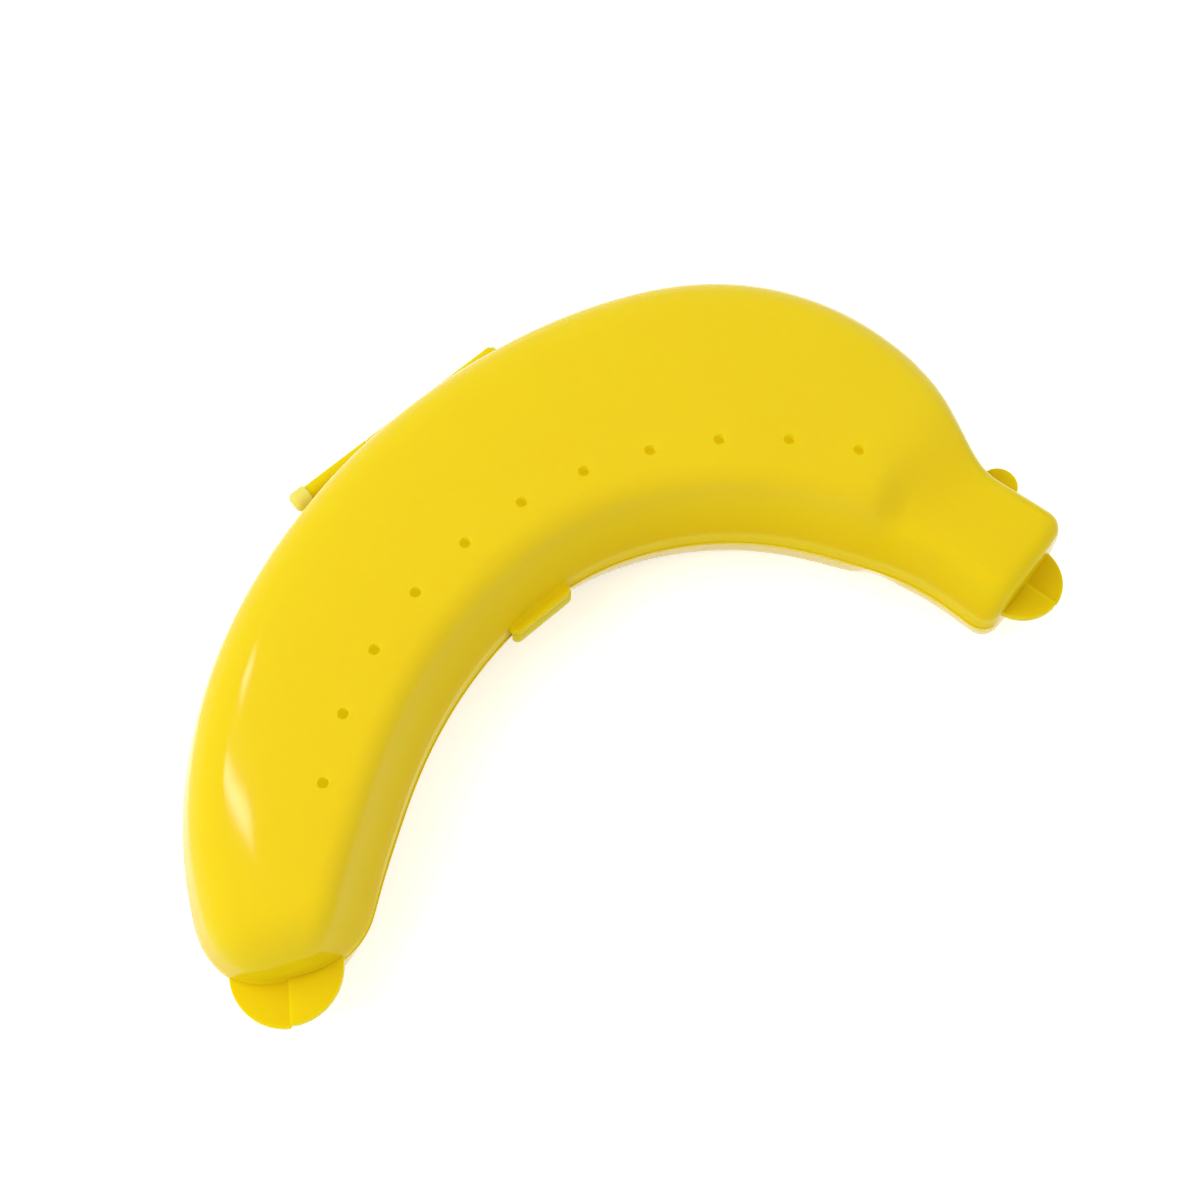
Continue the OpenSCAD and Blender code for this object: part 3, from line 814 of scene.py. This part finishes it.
def plastic(name, clear, shade_and_cloud, parting, rough, depth, through=0.0):
    """Moulded plastic that light enters to a depth; through is a painted glow in its own colour that stands
    in for the light coming out again inside
    """
    if name in bpy.data.materials:
        return bpy.data.materials[name]
    made = bpy.data.materials.new(name)
    made.use_nodes = True
    tree = made.node_tree
    shader = tree.nodes["Principled BSDF"].inputs
    finish = {"Clear": (*clear, 1), "Deep": (*shade_and_cloud, 1), "Rough": rough, "Parting": parting}
    moulded = add_node(tree, "ShaderNodeGroup", finish, node_tree=moulded_group()).outputs
    relief = {"Height": moulded["Relief"], "Strength": 0.02, "Distance": 0.001}
    bump = add_node(tree, "ShaderNodeBump", relief)
    tree.links.new(moulded["Colour"], shader["Base Color"])
    tree.links.new(moulded["Roughness"], shader["Roughness"])
    tree.links.new(moulded["Gloss"], shader["Coat Weight"])
    tree.links.new(bump.outputs["Normal"], shader["Normal"])
    shader["Coat Roughness"].default_value = rough
    shader["Coat IOR"].default_value = PLASTIC_IOR
    shader["IOR"].default_value = PLASTIC_IOR
    shader["Specular IOR Level"].default_value = BASE_SHINE
    shader["Subsurface Weight"].default_value = depth
    shader["Subsurface Radius"].default_value = LIGHT_SPREAD
    shader["Subsurface Scale"].default_value = LIGHT_DEPTH
    # Painted glow: emission in the plastic's colour where light through the wall would show
    if through:
        tree.links.new(moulded["Colour"], shader["Emission Color"])
        shader["Emission Strength"].default_value = through
    return made


def shell_plastics(form):
    """The plastic of the shells and the tongue, outside and inside, where the inside has a painted glow"""
    colours = bpy.context.scene.case_colours
    outside = plastic(
        "yellow_plastic",
        colours.shell,
        colours.shade_and_cloud,
        form.parting,
        rough=0.1,
        depth=1.0,
    )
    inside = plastic(
        "yellow_plastic_inside_painted_glow",
        colours.inside,
        colours.inside,
        form.parting,
        rough=0.3,
        depth=0.0,
        through=0.5,
    )
    return outside, inside


class CASE_OT_lower_shell(bpy.types.Operator):
    """Build the lower shell with its tabs, ear, two knuckles and catch bead"""

    bl_idname = "case.lower_shell"
    bl_label = "Lower Shell"

    def execute(self, context):
        form = CaseForm(context.scene.case_sizes)
        s = form.sizes
        spans = knuckle_spans(form)
        plates = [
            tip_tab_mesh(form, -s.slit / 2, 1),
            stem_tab_mesh(form, s.slit / 2, 1),
            ear_mesh(form),
            web_mesh(form, *spans[0]),
            web_mesh(form, *spans[2]),
        ]
        extras = [
            knuckle_mesh(form, *spans[0], s.pin / 2),
            knuckle_mesh(form, *spans[2], s.pin / 2),
            self.catch_bead(form),
        ]
        made = shell_object("lower_shell_skin", form, plates, extras, mirrored=True)
        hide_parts("lower_shell")
        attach(made, "base")
        return {"FINISHED"}

    def catch_bead(self, form):
        """Bead on the rim band below the tongue's ridge"""
        s = form.sizes
        low, high = tongue_span()
        middle = (low.x + high.x) / 2
        inner = smooth_at(form.rim_inner, 90)
        angle = math.degrees(math.acos((middle - form.centre.x) / (s.bend_radius - inner)))
        wall = form.point(angle, s.rim_reveal - smooth_at(form.rim_inner, angle))
        return rod_mesh(middle, (high.x - low.x) / 4, s.bead, s.bead, (wall.y, s.tongue))


class CASE_OT_upper_shell(bpy.types.Operator):
    """Build the upper shell with its tabs, knuckle and the ledge that carries the tongue"""

    bl_idname = "case.upper_shell"
    bl_label = "Upper Shell"

    def execute(self, context):
        form = CaseForm(context.scene.case_sizes)
        s = form.sizes
        spans = knuckle_spans(form)
        plates = [
            tip_tab_mesh(form, s.slit / 2, -1),
            stem_tab_mesh(form, s.slit / 2, -1),
            web_mesh(form, *spans[1]),
            self.ledge(form),
        ]
        extras = [knuckle_mesh(form, *spans[1], s.pin / 2 + s.pin_play)]
        made = shell_object("upper_shell_skin", form, plates, extras, mirrored=False)
        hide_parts("upper_shell")
        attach(made, "lid")
        return {"FINISHED"}

    def ledge(self, form):
        """Ledge over the tongue's root: round outer corners, and a hollow slope up to the wall"""
        s = form.sizes
        low, high = tongue_span()
        bottom = high.z - form.parting - s.rim_gap / 2 + s.latch_slot
        top = s.rim_band
        back = high.y + s.latch_rise
        bm = joined([box_mesh((low.x, low.y, bottom), (high.x, back, top))])
        corners = [e for e in bm.edges if upright(e) and all(v.co.y < high.y for v in e.verts)]
        bevelled(bm, corners, s.latch_round)
        front = high.y + s.tongue
        rim = [e for e in bm.edges if all(v.co.z > top - EXACT and v.co.y < front for v in e.verts)]
        bevelled(bm, rim, s.latch_edge)
        for share in SLOPE_CUTS:
            cut_at = high.y + share * (back - high.y)
            bmesh.ops.bisect_plane(
                bm,
                geom=[*bm.verts, *bm.edges, *bm.faces],
                plane_co=(0, cut_at, 0),
                plane_no=(0, 1, 0),
            )
        for v in bm.verts:
            if v.co.z > top - EXACT and v.co.y > high.y:
                v.co.z += s.latch_rise * ((v.co.y - high.y) / (back - high.y)) ** SLOPE_POWER
        return to_mesh(bm, "ledge")


class CASE_OT_hinge_pin(bpy.types.Operator):
    """Build the hinge pin with its button head and flattened tail"""

    bl_idname = "case.hinge_pin"
    bl_label = "Hinge Pin"

    def execute(self, context):
        form = CaseForm(context.scene.case_sizes)
        s = form.sizes
        low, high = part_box("hinge_pin")
        start, end = form.barrel
        head = (high.z - low.z) / 2
        r, e = s.head_round, s.edge / 2
        profile = [(low.x, 0)]
        for k in range(9):
            a = math.pi / 2 * k / 8
            profile.append((low.x + r - r * math.cos(a), head - r + r * math.sin(a)))
        profile += [(start - e, head), (start, head - e), (start, s.pin / 2), (end, s.pin / 2)]
        profile += [(end, s.tail / 2 - e), (end + e, s.tail / 2), (high.x - e, s.tail / 2)]
        profile += [(high.x, s.tail / 2 - e), (high.x, 0)]
        bm = joined([lathe_mesh(profile, (form.axis_y, form.parting), steps=64)])
        made = finished(bm, "hinge_pin_skin")
        # A pin has no parting line, so its own is far below it
        tone = context.scene.case_colours.pin
        made.data.materials.append(plastic("pale_plastic", tone, tone, 0.0, rough=0.2, depth=0.5))
        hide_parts("hinge_pin")
        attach(made, "base")
        return {"FINISHED"}


class CASE_OT_latch_tongue(bpy.types.Operator):
    """Build the snap tongue with its rounded corners and ridge"""

    bl_idname = "case.latch_tongue"
    bl_label = "Latch Tongue"

    def execute(self, context):
        s = context.scene.case_sizes
        low, high = tongue_span()
        bm = joined([box_mesh(low, high)])
        low_edges = [e for e in bm.edges if all(v.co.z < low.z + EXACT for v in e.verts)]
        across = [e for e in low_edges if abs(e.verts[0].co.y - e.verts[1].co.y) > s.tongue / 2]
        bevelled(bm, across, s.latch_round)
        face_edges = [e for e in bm.edges if all(v.co.y < low.y + EXACT for v in e.verts)]
        free = [e for e in face_edges if any(v.co.z <= high.z - EXACT for v in e.verts)]
        bevelled(bm, free, TONGUE_ROUND * s.tongue)
        rounded(bm, s.latch_slot)
        half = (high.x - low.x) / 2 - s.latch_round
        middle = (low.x + high.x) / 2
        ridge = rod_mesh(middle, half, s.ridge, s.ridge / 2, (high.y, low.z + 2 * s.ridge))
        made = finished(joined([to_mesh(bm, "tongue"), ridge]), "latch_tongue_skin")
        made.data.materials.append(shell_plastics(CaseForm(s))[0])
        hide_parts("latch_tongue")
        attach(made, "tongue")
        return {"FINISHED"}


class CASE_OT_stage(bpy.types.Operator):
    """Build the floor, the soft lights, the white surroundings and the camera"""

    bl_idname = "case.stage"
    bl_label = "Stage"

    def execute(self, context):
        scene = context.scene
        self.build_floor(scene.case_colours.floor)
        self.build_world(scene)
        for lamp in LAMPS:
            self.soft_box(*lamp)
        self.build_camera(scene)
        scene.view_settings.view_transform = "Standard"
        return {"FINISHED"}

    def build_floor(self, tone):
        """Flat floor just under the case"""
        bm = bmesh.new()
        bmesh.ops.create_grid(bm, x_segments=1, y_segments=1, size=FLOOR_HALF)
        bmesh.ops.translate(bm, vec=(0, 0, -FLOOR_DROP), verts=bm.verts[:])
        floor = finished(bm, "studio_floor")
        floor.data.materials.append(self.floor_material(tone))

    def floor_material(self, tone):
        """White floor that stays white for the camera and keeps a soft shadow"""
        made = bpy.data.materials.new("studio_floor")
        made.use_nodes = True
        tree = made.node_tree
        shader = tree.nodes["Principled BSDF"].inputs
        place = add_node(tree, "ShaderNodeTexCoord").outputs["Object"]
        speck = noise(tree, place, scale=40.0, detail=3.0)
        shade = ranged(tree, speck, (0.0, 1.0), (0.97, 1.0))
        tint = add_node(tree, "ShaderNodeVectorMath", {0: tone, 1: shade}, operation="MULTIPLY")
        tree.links.new(tint.outputs["Vector"], shader["Base Color"])
        shader["Roughness"].default_value = 0.9
        shader["Specular IOR Level"].default_value = 0.1
        shader["Emission Color"].default_value = (1, 1, 1, 1)
        tree.links.new(maths(tree, "MULTIPLY", self.shown(tree), FLOOR_GLOW), shader["Emission Strength"])
        return made

    def build_world(self, scene):
        """Surroundings that are white where they are seen, and give less light than that"""
        world = bpy.data.worlds.new("studio")
        scene.world = world
        world.use_nodes = True
        tree = world.node_tree
        light = tree.nodes["Background"].inputs
        light["Color"].default_value = (1, 1, 1, 1)
        strength = ranged(tree, self.shown(tree), (0.0, 1.0), (WORLD_LIGHT, 1.0))
        tree.links.new(strength, light["Strength"])

    def build_camera(self, scene):
        """Camera at the photograph's viewing angle"""
        eye = bpy.data.cameras.new("camera")
        eye.lens = CAMERA_LENS
        eye.sensor_width = CAMERA_SENSOR
        camera = bpy.data.objects.new("camera", eye)
        scene.collection.objects.link(camera)
        camera.location = CAMERA_PLACE
        camera.rotation_euler = (Vector(CAMERA_TARGET) - camera.location).to_track_quat("-Z", "Y").to_euler()
        scene.camera = camera

    def shown(self, tree):
        """1 for a ray that shows the studio, also in gloss or clear plastic, and 0 for one that lights"""
        path = add_node(tree, "ShaderNodeLightPath").outputs
        direct = maths(tree, "MAXIMUM", path["Is Camera Ray"], path["Is Glossy Ray"])
        return maths(tree, "MAXIMUM", direct, path["Is Transmission Ray"])

    def soft_box(self, name, place, size, power, mirrored):
        """A rectangular lamp that faces the case, and that shows in its gloss where mirrored"""
        lamp = bpy.data.lights.new(name, "AREA")
        lamp.shape = "RECTANGLE"
        lamp.size, lamp.size_y = size
        lamp.energy = power
        made = bpy.data.objects.new(name, lamp)
        bpy.context.scene.collection.objects.link(made)
        made.visible_glossy = mirrored
        made.location = place
        made.rotation_euler = (-Vector(place)).to_track_quat("-Z", "Y").to_euler()


class CASE_PT_panel(bpy.types.Panel):
    """Sizes, colours and build steps of the case"""

    bl_label = "Banana Case"
    bl_idname = "CASE_PT_panel"
    bl_space_type = "VIEW_3D"
    bl_region_type = "UI"
    bl_category = "Case"

    def draw(self, context):
        layout = self.layout
        for operator in OPERATORS:
            layout.operator(operator.bl_idname)
        for group in (context.scene.case_sizes, context.scene.case_colours):
            for name in group.__annotations__:
                layout.prop(group, name)


OPERATORS = (
    CASE_OT_lower_shell,
    CASE_OT_upper_shell,
    CASE_OT_hinge_pin,
    CASE_OT_latch_tongue,
    CASE_OT_stage,
)
CLASSES = (CaseSizes, CaseColours, *OPERATORS, CASE_PT_panel)


def register():
    for cls in CLASSES:
        bpy.utils.register_class(cls)
    bpy.types.Scene.case_sizes = PointerProperty(type=CaseSizes)
    bpy.types.Scene.case_colours = PointerProperty(type=CaseColours)


def unregister():
    del bpy.types.Scene.case_sizes
    del bpy.types.Scene.case_colours
    for cls in reversed(CLASSES):
        bpy.utils.unregister_class(cls)


def main():
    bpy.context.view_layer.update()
    register()
    bpy.ops.case.lower_shell()
    bpy.ops.case.upper_shell()
    bpy.ops.case.hinge_pin()
    bpy.ops.case.latch_tongue()
    bpy.ops.case.stage()


if __name__ == "__main__":
    main()
